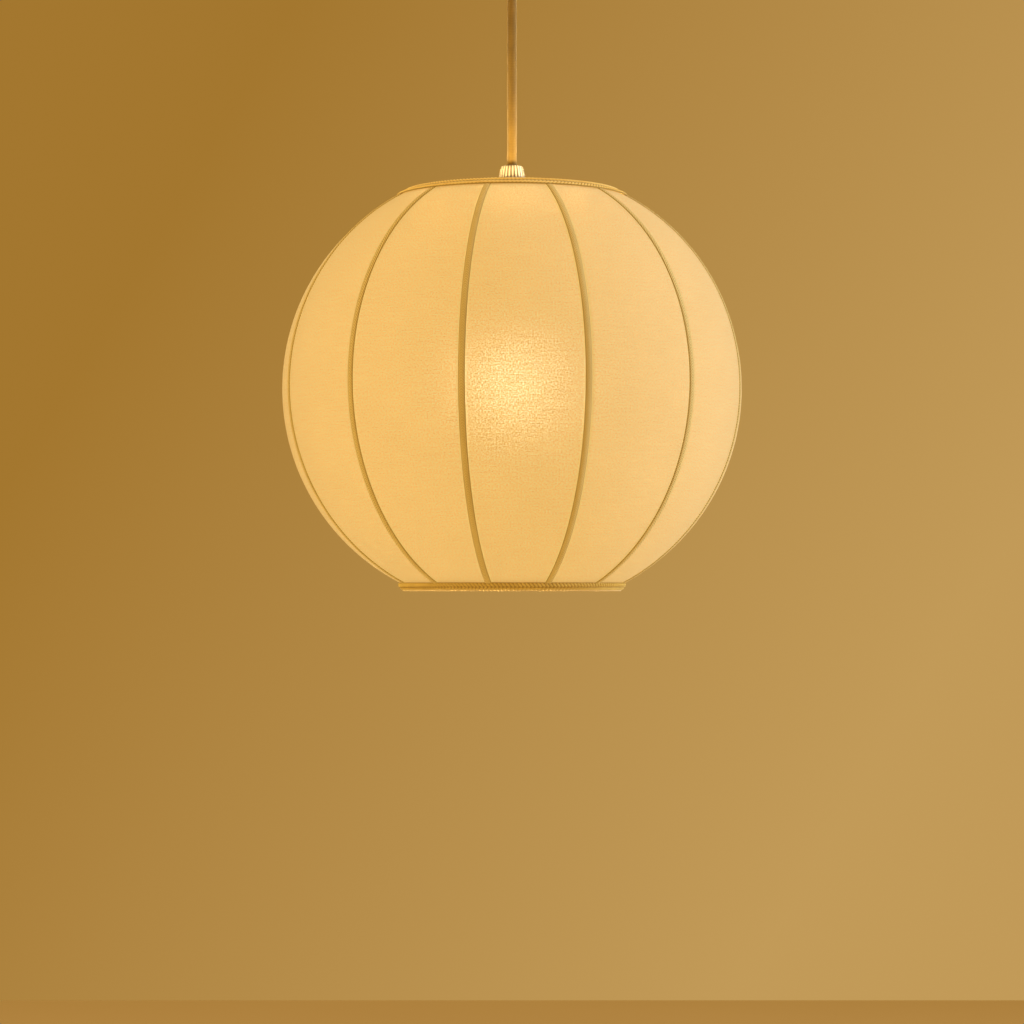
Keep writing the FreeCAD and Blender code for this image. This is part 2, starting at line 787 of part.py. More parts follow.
def make_cord_outlet():
    """The bush in the canopy's floor, with the cord's upper socket in its mouth."""
    mouth = "-outlet_mouth"
    under = "-canopy_depth - layer_gap"
    corners = [
        ("cord_bore", f"{mouth} + socket_depth", "left", "socket_radius"),
        ("socket_radius", mouth),
        ("outlet_radius + outlet_lip", mouth),
        ("outlet_radius + outlet_lip + outlet_taper", f"{mouth} + outlet_taper_height"),
        ("outlet_flange_radius", f"{under} - outlet_flange"),
        ("outlet_flange_radius", under),
        ("outlet_radius", under),
        ("outlet_radius", "-canopy_depth + outlet_neck"),
        ("cord_bore", "-canopy_depth + outlet_neck"),
    ]
    return turned_piece("cord_outlet", corners, drop="0")


def make_ceiling_leads():
    """The upper end of the cord inside the canopy, with its two cores ready to be joined."""
    foot = "-outlet_mouth + socket_radius + layer_gap"
    split = "-canopy_depth + ceiling_split"
    members = [bar("ceiling_sheath", ("0", "0", foot), ("0", "0", split), "cord_radius")]
    for side in (-1, 1):
        start = ("0", f"{side} * core_offset", f"{split} + core_offset")
        end = ("0", f"{side} * core_reach", "-canopy_depth + core_rise")
        members.append(bar(f"ceiling_core_{side + 2}", start, end, "core_diameter / 2"))
    return group_of("ceiling_leads", members)


def make_bracket():
    """The steel strap on the ceiling: two slots, a cable hole and an ear at each end."""
    def block(name, long, wide, high, x, z):
        box = document.addObject("Part::Box", name)
        bind(box, "Length", long)
        bind(box, "Width", wide)
        bind(box, "Height", high)
        bind(box, ".Placement.Base.x", x)
        bind(box, ".Placement.Base.y", f"-({wide}) / 2")
        bind(box, ".Placement.Base.z", z)
        return box

    half = "bracket_length / 2"
    strap = block("bracket_strap", "bracket_length", "bracket_width", "bracket_thickness",
                  f"-{half}", "-bracket_thickness")
    left = block("bracket_ear_left", "bracket_thickness", "bracket_width", "ear_depth",
                 f"-{half}", "-ear_depth")
    right = block("bracket_ear_right", "bracket_thickness", "bracket_width", "ear_depth",
                  f"{half} - bracket_thickness", "-ear_depth")
    bent = document.addObject("Part::MultiFuse", "bracket_bent")
    bent.Shapes = [strap, left, right]
    cutters = []
    cable = document.addObject("Part::Cylinder", "bracket_cable_hole")
    bind(cable, "Radius", "cord_diameter")
    bind(cable, "Height", "4 * bracket_thickness")
    bind(cable, ".Placement.Base.z", "-2 * bracket_thickness")
    cutters.append(cable)
    side_hole = document.addObject("Part::Cylinder", "bracket_side_hole")
    bind(side_hole, "Radius", "side_screw_radius + layer_gap")
    bind(side_hole, "Height", "2 * bracket_length")
    side_hole.Placement.Rotation = Rotation(Vector(0, 1, 0), 90)
    bind(side_hole, ".Placement.Base.x", "-bracket_length")
    bind(side_hole, ".Placement.Base.z", "-side_screw_drop")
    cutters.append(side_hole)
    for side in (-1, 1):
        centre = f"{side} * slot_spacing / 2"
        middle = block(f"slot_middle_{side + 2}", "slot_length - slot_width", "slot_width",
                       "4 * bracket_thickness", f"{centre} - (slot_length - slot_width) / 2",
                       "-2 * bracket_thickness")
        cutters.append(middle)
        for end in (-1, 1):
            tip = document.addObject("Part::Cylinder", f"slot_end_{side + 2}_{end + 2}")
            bind(tip, "Radius", "slot_width / 2")
            bind(tip, "Height", "4 * bracket_thickness")
            bind(tip, ".Placement.Base.x", f"{centre} + {end} * (slot_length - slot_width) / 2")
            bind(tip, ".Placement.Base.z", "-2 * bracket_thickness")
            cutters.append(tip)
    holes = document.addObject("Part::MultiFuse", "bracket_holes")
    holes.Shapes = cutters
    bracket = document.addObject("Part::Cut", "ceiling_bracket")
    bracket.Label = "ceiling_bracket"
    bracket.Base = bent
    bracket.Tool = holes
    return bracket


def make_canopy_screws():
    """The two side screws, each through the canopy's wall into an ear of the bracket."""
    inside = "bracket_length / 2 - bracket_thickness - side_screw_inside"
    screws = []
    for side in (-1, 1):
        profile = [
            ("0", inside),
            ("side_screw_radius", inside),
            ("side_screw_radius", "canopy_radius + layer_gap"),
            ("2 * side_screw_radius", "canopy_radius + layer_gap"),
            ("2 * side_screw_radius - side_screw_dome", "canopy_radius + side_screw_head"),
            ("0", "canopy_radius + side_screw_head"),
        ]
        screw = turned_piece(f"canopy_screw_{side + 2}", profile, drop="side_screw_drop")
        screw.Placement.Rotation = Rotation(Vector(0, 1, 0), 90 * side)
        screws.append(screw)
    return group_of("canopy_screws", screws)


# ---- the whole lantern -------------------------------------------------------------------------

pieces = []
for rib in range(RIBS):
    pieces.append(make_gore(rib))
    pieces.append(make_rib_wire(rib))
    pieces.append(make_rib_tape(rib))
pieces.append(make_ring("top_ring", "top_ring_radius", "top_ring_rise"))
pieces.append(make_ring("bottom_ring", "bottom_ring_radius", "-bottom_ring_drop"))
pieces.append(make_braid("top_braid", "top_braid_start", "top_braid_foot",
                         "top_braid_reach", "top_braid_height", "1"))
pieces.append(make_braid("bottom_braid", "bottom_braid_start", "bottom_braid_foot",
                         "bottom_braid_reach", "bottom_braid_height", "-1"))
pieces.append(make_spider())
pieces.append(make_lampholder_cap())
pieces.append(make_cord_grip())
pieces.append(make_skirt())
pieces.append(make_shade_ring())
pieces.append(make_contact_block())
pieces.append(make_screw_shell())
pieces.append(make_centre_contact())
pieces.append(make_terminal_screws())
pieces.append(make_cord_tail())
pieces.append(make_bulb_globe())
pieces.append(make_bulb_housing())
pieces.append(make_led_board())
pieces.append(make_bulb_cap())
pieces.append(make_pendant_cord())
pieces.append(make_canopy())
pieces.append(make_cord_outlet())
pieces.append(make_ceiling_leads())
pieces.append(make_bracket())
pieces.append(make_canopy_screws())

document.recompute()
for thing in document.Objects:
    if "Invalid" in thing.State or "Error" in thing.State:
        raise RuntimeError(f"{thing.Name} did not compute: {thing.State}")
os.makedirs("parts", exist_ok=True)
for piece in pieces:
    shape = piece.Shape
    if shape.isNull() or not shape.isValid() or shape.Volume <= 0:
        raise RuntimeError(f"{piece.Label} has no sound solid")
for piece in pieces:
    piece.Shape.exportStep(f"parts/{piece.Label}.step")
    print(piece.Label, round(piece.Shape.Volume, 1))
print("cord length", round(size("cord_length"), 2))
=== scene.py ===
import math

import bpy
from mathutils import Matrix, Vector


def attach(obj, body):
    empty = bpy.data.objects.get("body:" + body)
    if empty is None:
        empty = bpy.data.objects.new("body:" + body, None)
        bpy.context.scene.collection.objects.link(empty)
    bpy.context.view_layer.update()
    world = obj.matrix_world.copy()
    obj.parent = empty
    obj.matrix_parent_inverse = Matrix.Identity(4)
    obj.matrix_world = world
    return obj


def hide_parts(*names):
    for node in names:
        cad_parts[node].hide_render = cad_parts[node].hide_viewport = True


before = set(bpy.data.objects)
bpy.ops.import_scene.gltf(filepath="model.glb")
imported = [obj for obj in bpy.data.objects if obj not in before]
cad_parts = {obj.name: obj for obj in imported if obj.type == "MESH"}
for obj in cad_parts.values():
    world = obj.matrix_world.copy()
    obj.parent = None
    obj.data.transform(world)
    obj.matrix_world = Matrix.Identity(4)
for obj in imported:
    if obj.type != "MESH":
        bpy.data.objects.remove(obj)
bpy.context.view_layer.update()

scene = bpy.context.scene


# ---------------------------------------------------------------- where the lantern hangs
# A cloth globe lantern on a ceiling cord. All heights run down from the ceiling; the middle
# of the globe is the point that the shade, its cage and the lampholder are measured from.
GLOBE_MIDDLE = -0.308
EYE_DISTANCE = 2.006
EYE_HEIGHT = -0.4403
EYE_TURN = math.radians(11.8)
EYE_TILT = math.radians(91.49)
LENS_WIDTH = 36.0
LENS_LENGTH = 107.86

camera_data = bpy.data.cameras.new("camera")
camera_data.sensor_width = LENS_WIDTH
camera_data.lens = LENS_LENGTH
camera = bpy.data.objects.new("camera", camera_data)
camera.location = (
    EYE_DISTANCE * math.sin(EYE_TURN),
    -EYE_DISTANCE * math.cos(EYE_TURN),
    EYE_HEIGHT,
)
camera.rotation_euler = (EYE_TILT, 0.0, EYE_TURN)
scene.collection.objects.link(camera)
scene.camera = camera
scene.view_settings.view_transform = "Standard"


# ---------------------------------------------------------------- pendant cord
# A round two-core lead in a close braided textile sleeve. It runs straight down from the
# bush in the ceiling rose to the cord grip in the lampholder, pulled taut by the lantern.
CORD_TOP = -0.047
CORD_FOOT = -0.161242
CORD_WIDTH = 0.0062
SLEEVE_STRANDS = 16
SLEEVE_RISE = 0.0042
SLEEVE_DARK = (0.15, 0.095, 0.018, 1.0)
SLEEVE_LIGHT = (0.32, 0.215, 0.042, 1.0)


class Field:
    """A value that varies over a surface: one output of a material's nodes."""

    def __init__(self, tree, socket=None):
        self.tree = tree
        self.socket = socket

    def node(self, kind, output=0, sockets=(), **settings):
        """Adds a node, makes its settings, fills its sockets and gives one of its outputs."""
        added = self.tree.nodes.new("ShaderNode" + kind)
        for name, setting in settings.items():
            setattr(added, name, setting)
        for key, filling in dict(sockets).items():
            if isinstance(filling, Field):
                self.tree.links.new(filling.socket, added.inputs[key])
            else:
                added.inputs[key].default_value = filling
        return Field(self.tree, added.outputs[output])

    def into(self, socket):
        self.tree.links.new(self.socket, socket)

    def math(self, operation, first, second=0.0):
        return self.node("Math", sockets={0: first, 1: second}, operation=operation)

    def __add__(self, other):
        return self.math("ADD", self, other)

    def __radd__(self, other):
        return self.math("ADD", other, self)

    def __sub__(self, other):
        return self.math("SUBTRACT", self, other)

    def __rsub__(self, other):
        return self.math("SUBTRACT", other, self)

    def __mul__(self, other):
        return self.math("MULTIPLY", self, other)

    def __rmul__(self, other):
        return self.math("MULTIPLY", other, self)

    def __truediv__(self, other):
        return self.math("DIVIDE", self, other)

    def sine(self):
        return self.math("SINE", self)

    def size(self):
        return self.math("ABSOLUTE", self)

    def limited(self):
        return self.node("Clamp", sockets={"Value": self})

    def mixed(self, low, high):
        """A colour between two, by this value."""
        return self.node("Mix", 2, {0: self, 6: low, 7: high}, data_type="RGBA")

    def axis(self, name):
        return self.node("SeparateXYZ", name, {0: self})

    def scaled(self, sizes):
        return self.node("VectorMath", 0, {0: self, 1: sizes}, operation="MULTIPLY")

    def noise(self, scale, detail=2.0):
        """Cloudy noise at this vector, from 0 to 1."""
        return self.node("TexNoise", 0, {"Vector": self, "Scale": scale, "Detail": detail})


def new_finish(name, constants):
    """A material with one shader and the sockets that are the same all over, and its place."""
    finish = bpy.data.materials.new(name)
    finish.use_nodes = True
    shader = finish.node_tree.nodes["Principled BSDF"]
    for key, constant in constants.items():
        shader.inputs[key].default_value = constant
    place = Field(finish.node_tree).node("TexCoord", "Object")
    return finish, shader, place


def add_relief(shader, height, depth, strength=1.0):
    """Small relief of a given depth in metres, by a height from 0 to 1."""
    sockets = {"Strength": strength, "Distance": depth, "Height": height}
    height.node("Bump", 0, sockets).into(shader.inputs["Normal"])


cord_curve = bpy.data.curves.new("pendant_cord_sleeve", "CURVE")
cord_curve.dimensions = "3D"
cord_curve.bevel_depth = CORD_WIDTH / 2
cord_curve.bevel_resolution = 12
cord_curve.use_fill_caps = True
cord_line = cord_curve.splines.new("NURBS")
cord_line.points.add(2)
for point, height in zip(cord_line.points, (CORD_TOP, (CORD_TOP + CORD_FOOT) / 2, CORD_FOOT)):
    point.co = (0.0, 0.0, height, 1.0)
cord_line.order_u = 3
cord_line.use_endpoint_u = True
cord_line.resolution_u = 24
cord = bpy.data.objects.new("pendant_cord_sleeve", cord_curve)
scene.collection.objects.link(cord)

sleeve, shader, place = new_finish(
    "braided_sleeve",
    {"Sheen Weight": 0.25, "Sheen Roughness": 0.5, "Specular IOR Level": 0.35},
)
round_turn = place.math("ARCTAN2", place.axis("Y"), place.axis("X"))
climb = place.axis("Z") * (2 * math.pi / SLEEVE_RISE)
strand_up = (round_turn * SLEEVE_STRANDS + climb * 2.0).sine()
strand_down = (round_turn * SLEEVE_STRANDS - climb * 2.0).sine()
braid_height = (strand_up * strand_down * 0.5 + 0.5).limited()
wear = place.noise(90.0, 3.0)
sleeve_tone = (braid_height * 0.45 + wear * 0.7 - 0.1).limited()
sleeve_tone.mixed(SLEEVE_DARK, SLEEVE_LIGHT).into(shader.inputs["Base Color"])
(0.62 + wear * 0.2).into(shader.inputs["Roughness"])
add_relief(shader, braid_height, 0.00012, 0.6)
cord_curve.materials.append(sleeve)

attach(cord, "cord")
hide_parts("pendant_cord")


# ---------------------------------------------------------------- ceiling rose
# A spun steel dome, powder coated cream, held to its strap by two small side screws. The cord
# leaves through a turned plastic bush; the two supply leads end in the room above.
ROSE_CREAM_DARK = (0.60, 0.44, 0.24, 1.0)
ROSE_CREAM_LIGHT = (0.74, 0.58, 0.34, 1.0)


def coat(nodes, finish):
    """Gives CAD nodes one finish all over."""
    for name in nodes:
        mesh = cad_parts[name].data
        mesh.materials.clear()
        mesh.materials.append(finish)


powder, shader, place = new_finish(
    "rose_powder_coat", {"Coat Weight": 0.12, "Coat Roughness": 0.35}
)
orange_peel = place.noise(1400.0, 1.0)
dust = place.noise(28.0, 4.0)
dust.mixed(ROSE_CREAM_DARK, ROSE_CREAM_LIGHT).into(shader.inputs["Base Color"])
(0.36 + dust * 0.18).into(shader.inputs["Roughness"])
add_relief(shader, orange_peel, 0.00006, 0.5)
coat(["canopy"], powder)

STRAP_DARK = (0.36, 0.34, 0.31, 1.0)
STRAP_LIGHT = (0.62, 0.60, 0.56, 1.0)
zinc, shader, place = new_finish("zinc_plate", {"Metallic": 1.0})
flakes = place.node("TexVoronoi", "Color", {"Vector": place, "Scale": 190.0}).axis("X")
handling = place.noise(45.0, 4.0)
(flakes * 0.5 + handling * 0.5).mixed(STRAP_DARK, STRAP_LIGHT).into(shader.inputs["Base Color"])
(0.28 + handling * 0.3).into(shader.inputs["Roughness"])
add_relief(shader, handling, 0.00004, 0.4)
coat(["ceiling_bracket"], zinc)

SCREW_DARK = (0.48, 0.45, 0.40, 1.0)
SCREW_LIGHT = (0.76, 0.73, 0.66, 1.0)
screw_steel, shader, place = new_finish("screw_steel", {"Metallic": 1.0})
turned = place.scaled((3000.0, 200.0, 200.0)).noise(1.0, 2.0)
turned.mixed(SCREW_DARK, SCREW_LIGHT).into(shader.inputs["Base Color"])
(0.2 + turned * 0.25).into(shader.inputs["Roughness"])
add_relief(shader, turned, 0.00003, 0.5)
coat(["canopy_screws", "terminal_screws"], screw_steel)


# ---------------------------------------------------------------- moulded plastic parts
# The bush, cord grip, lampholder cap, skirt and shade ring are cream thermoset mouldings
# with a soft shine, and the leads' insulation is a brown one. The cap, skirt and shade ring
# are given a faint painted glow of the lamp's light. The cap's upright grip ribs are pale,
# with painted shadow darkening the grooves between them.
PLASTIC_DARK = (0.66, 0.53, 0.32, 1.0)
PLASTIC_LIGHT = (0.86, 0.76, 0.53, 1.0)
# Painted light: the lamp's glow that mouldings near it are given as emission.
PLASTIC_GLOW = (0.95, 0.72, 0.38, 1.0)


def moulded(name, dark, light, glow, shine):
    """A cream moulding: faint flow clouds, a fine matt grain, a soft shine and a painted glow of
    the lamp's light at the strength given.
    """
    finish, shader, place = new_finish(
        name,
        {
            "Coat Weight": shine,
            "Coat Roughness": 0.18,
            "Emission Color": PLASTIC_GLOW,
            "Emission Strength": glow,
            "Subsurface Weight": 0.15,
            "Subsurface Radius": (0.004, 0.003, 0.0015),
        },
    )
    flow = place.noise(55.0, 3.0)
    matt = place.noise(1800.0, 1.0)
    flow.mixed(dark, light).into(shader.inputs["Base Color"])
    (0.26 + flow * 0.16).into(shader.inputs["Roughness"])
    add_relief(shader, matt * 0.5 + flow * 0.5, 0.00008, 0.4)
    return finish


GRIP_RIBS = 24
# The ribs' stripes are painted light and shade: painted shadow in the grooves, lighter on the
# ribs.
GROOVE_SHADOW = (0.16, 0.12, 0.06, 1.0)
RIDGE_LIT = (0.74, 0.70, 0.56, 1.0)
# The cap's emission is a faint painted glow of the lamp's light.
cap_plastic, shader, place = new_finish(
    "cap_plastic",
    {
        "Coat Weight": 0.5,
        "Coat Roughness": 0.12,
        "Emission Color": PLASTIC_GLOW,
        "Emission Strength": 0.04,
    },
)
round_turn = place.math("ARCTAN2", place.axis("Y"), place.axis("X"))
ridge = place.math("COSINE", round_turn * GRIP_RIBS) * 0.9 + 0.55
flow = place.noise(70.0, 3.0)
# Painted shadow darkens the grooves between the grip ribs.
ridge.limited().mixed(GROOVE_SHADOW, RIDGE_LIT).into(shader.inputs["Base Color"])
(0.2 + flow * 0.2).into(shader.inputs["Roughness"])
add_relief(shader, ridge.limited() * 0.8 + flow * 0.2, 0.0003, 0.6)
coat(["lampholder_cap"], cap_plastic)
# The skirt and shade ring are given a faint painted glow of the lamp's light.
coat(
    ["lampholder_skirt", "shade_ring"],
    moulded("skirt_plastic", PLASTIC_DARK, PLASTIC_LIGHT, 0.05, 0.3),
)
coat(
    ["cord_outlet", "cord_grip"],
    moulded("bush_plastic", PLASTIC_DARK, PLASTIC_LIGHT, 0.0, 0.3),
)
LEAD_DARK = (0.30, 0.14, 0.05, 1.0)
LEAD_LIGHT = (0.52, 0.28, 0.12, 1.0)
coat(
    ["ceiling_leads", "cord_tail"],
    moulded("lead_insulation", LEAD_DARK, LEAD_LIGHT, 0.0, 0.2),
)


# ---------------------------------------------------------------- inside the lampholder
# A glazed ceramic block carries the brass screw shell, the sprung centre contact and the
# two terminals.
GLAZE_DARK = (0.66, 0.63, 0.57, 1.0)
GLAZE_LIGHT = (0.84, 0.82, 0.77, 1.0)
glaze, shader, place = new_finish("ceramic_glaze", {"Coat Weight": 0.7, "Coat Roughness": 0.08})
body_cloud = place.noise(160.0, 4.0)
body_cloud.mixed(GLAZE_DARK, GLAZE_LIGHT).into(shader.inputs["Base Color"])
(0.22 + body_cloud * 0.2).into(shader.inputs["Roughness"])
add_relief(shader, body_cloud, 0.0001, 0.3)
coat(["contact_block"], glaze)

BRASS_DARK = (0.48, 0.29, 0.09, 1.0)
BRASS_LIGHT = (0.83, 0.58, 0.24, 1.0)
brass, shader, place = new_finish("pressed_brass", {"Metallic": 1.0})
tarnish = place.noise(140.0, 5.0)
tarnish.mixed(BRASS_DARK, BRASS_LIGHT).into(shader.inputs["Base Color"])
(0.2 + tarnish * 0.3).into(shader.inputs["Roughness"])
add_relief(shader, tarnish, 0.00004, 0.4)
coat(["screw_shell", "centre_contact"], brass)


# ---------------------------------------------------------------- lamp bulb
# A round bulb: a frosted glass globe that the light column shows through, a white plastic
# housing and a screw cap of nickel-plated brass.
FROST = (0.95, 0.90, 0.80, 1.0)
FROST_GLOW = (0.95, 0.80, 0.52, 1.0)
FROST_CLEAR = 0.62
frosted, shader, place = new_finish(
    "frosted_glass",
    {
        "Base Color": FROST,
        "Roughness": 0.3,
        "Emission Color": FROST_GLOW,
        "Emission Strength": 0.85,
        "Coat Weight": 0.6,
        "Coat Roughness": 0.06,
    },
)
frosting = place.noise(420.0, 3.0)
(1.0 - FROST_CLEAR + frosting * 0.1).into(shader.inputs["Alpha"])
add_relief(shader, frosting, 0.00005, 0.3)
coat(["bulb_globe"], frosted)

COLUMN_GLOW_DARK = (0.82, 0.90, 0.74, 1.0)
COLUMN_GLOW_LIGHT = (0.84, 0.96, 0.86, 1.0)
PHOSPHOR_DARK = (0.85, 0.65, 0.25, 1.0)
PHOSPHOR_LIGHT = (0.95, 0.80, 0.40, 1.0)
column, shader, place = new_finish("light_column", {"Roughness": 0.5, "Emission Strength": 9.0})
phosphor = place.noise(500.0, 2.0)
phosphor.mixed(COLUMN_GLOW_DARK, COLUMN_GLOW_LIGHT).into(shader.inputs["Emission Color"])
phosphor.mixed(PHOSPHOR_DARK, PHOSPHOR_LIGHT).into(shader.inputs["Base Color"])
coat(["led_board"], column)

HOUSING_DARK = (0.78, 0.74, 0.66, 1.0)
HOUSING_LIGHT = (0.90, 0.87, 0.80, 1.0)
# The bulb housing is given a faint painted glow of the lamp's light.
coat(["bulb_housing"], moulded("housing_plastic", HOUSING_DARK, HOUSING_LIGHT, 0.1, 0.2))

NICKEL_DARK = (0.42, 0.38, 0.30, 1.0)
NICKEL_LIGHT = (0.74, 0.70, 0.60, 1.0)
nickel, shader, place = new_finish("nickel_cap", {"Metallic": 1.0})
rubbed = place.scaled((120.0, 120.0, 900.0)).noise(1.0, 4.0)
rubbed.mixed(NICKEL_DARK, NICKEL_LIGHT).into(shader.inputs["Base Color"])
(0.22 + rubbed * 0.26).into(shader.inputs["Roughness"])
add_relief(shader, rubbed, 0.00004, 0.4)
coat(["bulb_cap"], nickel)


# ---------------------------------------------------------------- wire cage
# Twelve bowed ribs and two rings of steel wire, and the three-armed spider that the
# lampholder clamps. The wire is dipped in cream lacquer, thin and a little uneven.
LACQUER_DARK = (0.50, 0.36, 0.19, 1.0)
LACQUER_LIGHT = (0.72, 0.58, 0.36, 1.0)
RIBS = 12
lacquer, shader, place = new_finish("wire_lacquer", {"Coat Weight": 0.35, "Coat Roughness": 0.2})
drips = place.noise(75.0, 4.0)
drips.mixed(LACQUER_DARK, LACQUER_LIGHT).into(shader.inputs["Base Color"])
(0.3 + drips * 0.2).into(shader.inputs["Roughness"])
add_relief(shader, drips, 0.0002, 0.3)
coat([f"rib_wire_{rib:02d}" for rib in range(1, RIBS + 1)], lacquer)
coat(["top_ring", "bottom_ring", "spider"], lacquer)


# ---------------------------------------------------------------- cloth gores
# Twelve cut panels of fine plain-woven cloth, stretched over the cage and stuck to the ribs.
# Their meridian is an arc whose middle is a little off the axis. The glow of the lamp inside
# is painted on the cloth as its own emission, with a brighter painted band beside each seam
# where the light leaks through.
MERIDIAN = 0.1425
ARC_OFFSET = 0.0075
TOP_RIM = 0.070
FOOT_RIM = 0.073
TOP_RISE = math.sqrt(MERIDIAN**2 - (TOP_RIM - ARC_OFFSET) ** 2)
FOOT_DROP = math.sqrt(MERIDIAN**2 - (FOOT_RIM - ARC_OFFSET) ** 2)
CLOTH_THICKNESS = 0.0004
GLOBE_RADIUS = 0.15
SEAM_TURN = 0.0003 / GLOBE_RADIUS
RIB_STEP = 2 * math.pi / RIBS
MERIDIAN_SIDES = 256
GORE_STEPS = 18
THREAD = 0.00085
# A band of painted light beside each seam: lamp light leaking through the gap between gores.
SEAM_BAND_MIDDLE = 0.0021
SEAM_BAND_HALF = 0.0014
SEAM_BAND_SHARE = 0.7
SLUB_SCALE = (45.0, 1150.0, 1.0)
FLECK_SCALE = (1000.0, 1250.0, 1.0)
TONE_LEVEL = 1.08
OPEN_LEVEL = 0.98
THROUGH_TINT = (1.0, 0.97, 0.92, 1.0)
CLOTH_DARK = (0.44, 0.32, 0.19, 1.0)
CLOTH_LIGHT = (0.62, 0.49, 0.34, 1.0)
# The cloth's glow is painted light: the lamp's light through the cloth, given as emission.
GLOW_DARK = (0.435, 0.275, 0.074, 1.0)
GLOW_LIGHT = (0.57, 0.398, 0.130, 1.0)
SEAM_GLOW = (0.62, 0.490, 0.150, 1.0)


def start_piece(name, adding, stretch=(1.0, 1.0, 1.0), **at):
    """Deselects everything, adds a primitive, stretches and names it, and opens it to edit."""
    bpy.ops.object.select_all(action="DESELECT")
    adding(**at)
    piece = bpy.context.object
    piece.name = name
    piece.data.name = name
    piece.scale = stretch
    bpy.ops.object.transform_apply(location=True, rotation=True, scale=True)
    bpy.ops.object.mode_set(mode="EDIT")
    return piece


def turn_round(steps, angle, copies=False, centre=(0.0, 0.0, 0.0), axis=(0.0, 0.0, 1.0)):
    """Spins what is selected, anticlockwise about the axis."""
    bpy.ops.mesh.spin(steps=steps, angle=-angle, dupli=copies, center=centre, axis=axis)


def close_up():
    """Merges doubled points, points the faces outwards and leaves edit mode."""
    bpy.ops.mesh.select_all(action="SELECT")
    bpy.ops.mesh.remove_doubles(threshold=0.000001)
    bpy.ops.mesh.normals_make_consistent(inside=False)
    bpy.ops.object.mode_set(mode="OBJECT")
    bpy.ops.object.shade_smooth_by_angle(angle=math.radians(40))


def add_copy(piece, name, angle):
    """A copy of the piece with its own mesh, turned about the upright axis."""
    copy = piece.copy()
    copy.data = piece.data.copy()
    copy.name = name
    copy.data.name = name
    copy.data.transform(Matrix.Rotation(angle, 4, "Z"))
    scene.collection.objects.link(copy)
    return copy


def write_weave(piece, centre_turn, shift):
    """Lays the weave along the cloth, in metres, and writes each point's distance to a seam."""
    mesh = piece.data
    weave = mesh.uv_layers.new(name="weave")
    seam = mesh.attributes.new("seam_distance", "FLOAT", "POINT")
    spots = []
    for point in mesh.vertices:
        x, y, z = point.co
        reach = math.hypot(x, y)
        turn = (math.atan2(y, x) - centre_turn + math.pi) % (2 * math.pi) - math.pi
        rise = math.atan2(z - GLOBE_MIDDLE, reach - ARC_OFFSET)
        spots.append((reach * turn + shift, MERIDIAN * rise + 2.3 * shift))
        seam.data[point.index].value = reach * (RIB_STEP / 2 - abs(turn))
    for corner in mesh.loops:
        weave.data[corner.index].uv = spots[corner.vertex_index]


def make_gore_cloth():
    """Plain weave with slubs across, a painted warm glow that is brighter beside the seams, and
    some light let straight through.
    """
    finish, shader, place = new_finish(
        "gore_cloth",
        {
            "Emission Strength": 1.0,
            "Sheen Weight": 0.15,
            "Sheen Roughness": 0.6,
            "Specular IOR Level": 0.2,
        },
    )
    lie = place.node("UVMap", 0, uv_map="weave")
    weft = (lie.axis("Y") * (math.pi / THREAD)).sine()
    warp = (lie.axis("X") * (math.pi / THREAD)).sine()
    over = (weft * warp * 4.0 + 0.5).limited()
    threads = weft.size() * over + warp.size() * (1.0 - over)
    slubs = lie.scaled(SLUB_SCALE).noise(1.0, 2.0)
    flecks = lie.scaled(FLECK_SCALE).noise(1.0, 1.0)
    clouds = lie.noise(22.0, 3.0)
    mottle = clouds * 0.25 + slubs * 0.75 + flecks * 1.9 + threads * 0.25
    tone = (mottle - TONE_LEVEL).limited()
    tone.mixed(CLOTH_DARK, CLOTH_LIGHT).into(shader.inputs["Base Color"])
    # Painted light: the emission is brighter in a band beside each seam, where lamp light leaks
    # through.
    seam = place.node("Attribute", "Fac", attribute_name="seam_distance")
    beside_tape = (1.0 - (seam - SEAM_BAND_MIDDLE).size() / SEAM_BAND_HALF).limited()
    glow = tone.mixed(GLOW_DARK, GLOW_LIGHT)
    glow_share = beside_tape * SEAM_BAND_SHARE
    glow_share.mixed(glow, SEAM_GLOW).into(shader.inputs["Emission Color"])
    (0.78 + slubs * 0.16).into(shader.inputs["Roughness"])
    add_relief(shader, threads * 0.7 + slubs * 0.6, 0.00014, 0.6)
    through = place.node(
        "BsdfRefraction", 0, {"Color": THROUGH_TINT, "Roughness": 0.88, "IOR": 1.16}
    )
    inner_wall = place.node("NewGeometry", "Backfacing")
    gaps = (flecks * 2.0 + slubs * 0.2 - OPEN_LEVEL).limited()
    openness = (gaps + inner_wall).limited()
    woven = Field(finish.node_tree, shader.outputs[0])
    both = place.node("MixShader", 0, {0: openness, 1: woven, 2: through})
    both.into(finish.node_tree.nodes["Material Output"].inputs["Surface"])
    return finish


gore_cloth = make_gore_cloth()
gore = start_piece(
    "gore_cloth_01",
    bpy.ops.mesh.primitive_circle_add,
    vertices=MERIDIAN_SIDES,
    radius=MERIDIAN,
    location=(ARC_OFFSET, 0.0, GLOBE_MIDDLE),
    rotation=(math.pi / 2, 0.0, 0.0),
)
for cut, way in (
    ((ARC_OFFSET, 0.0, GLOBE_MIDDLE), (-1.0, 0.0, 0.0)),
    ((0.0, 0.0, GLOBE_MIDDLE + TOP_RISE), (0.0, 0.0, 1.0)),
    ((0.0, 0.0, GLOBE_MIDDLE - FOOT_DROP), (0.0, 0.0, -1.0)),
):
    bpy.ops.mesh.select_all(action="SELECT")
    bpy.ops.mesh.bisect(plane_co=cut, plane_no=way, clear_outer=True)
bpy.ops.mesh.select_all(action="SELECT")
turn_round(GORE_STEPS, RIB_STEP - SEAM_TURN)
close_up()
gore.data.transform(Matrix.Rotation(SEAM_TURN / 2, 4, "Z"))
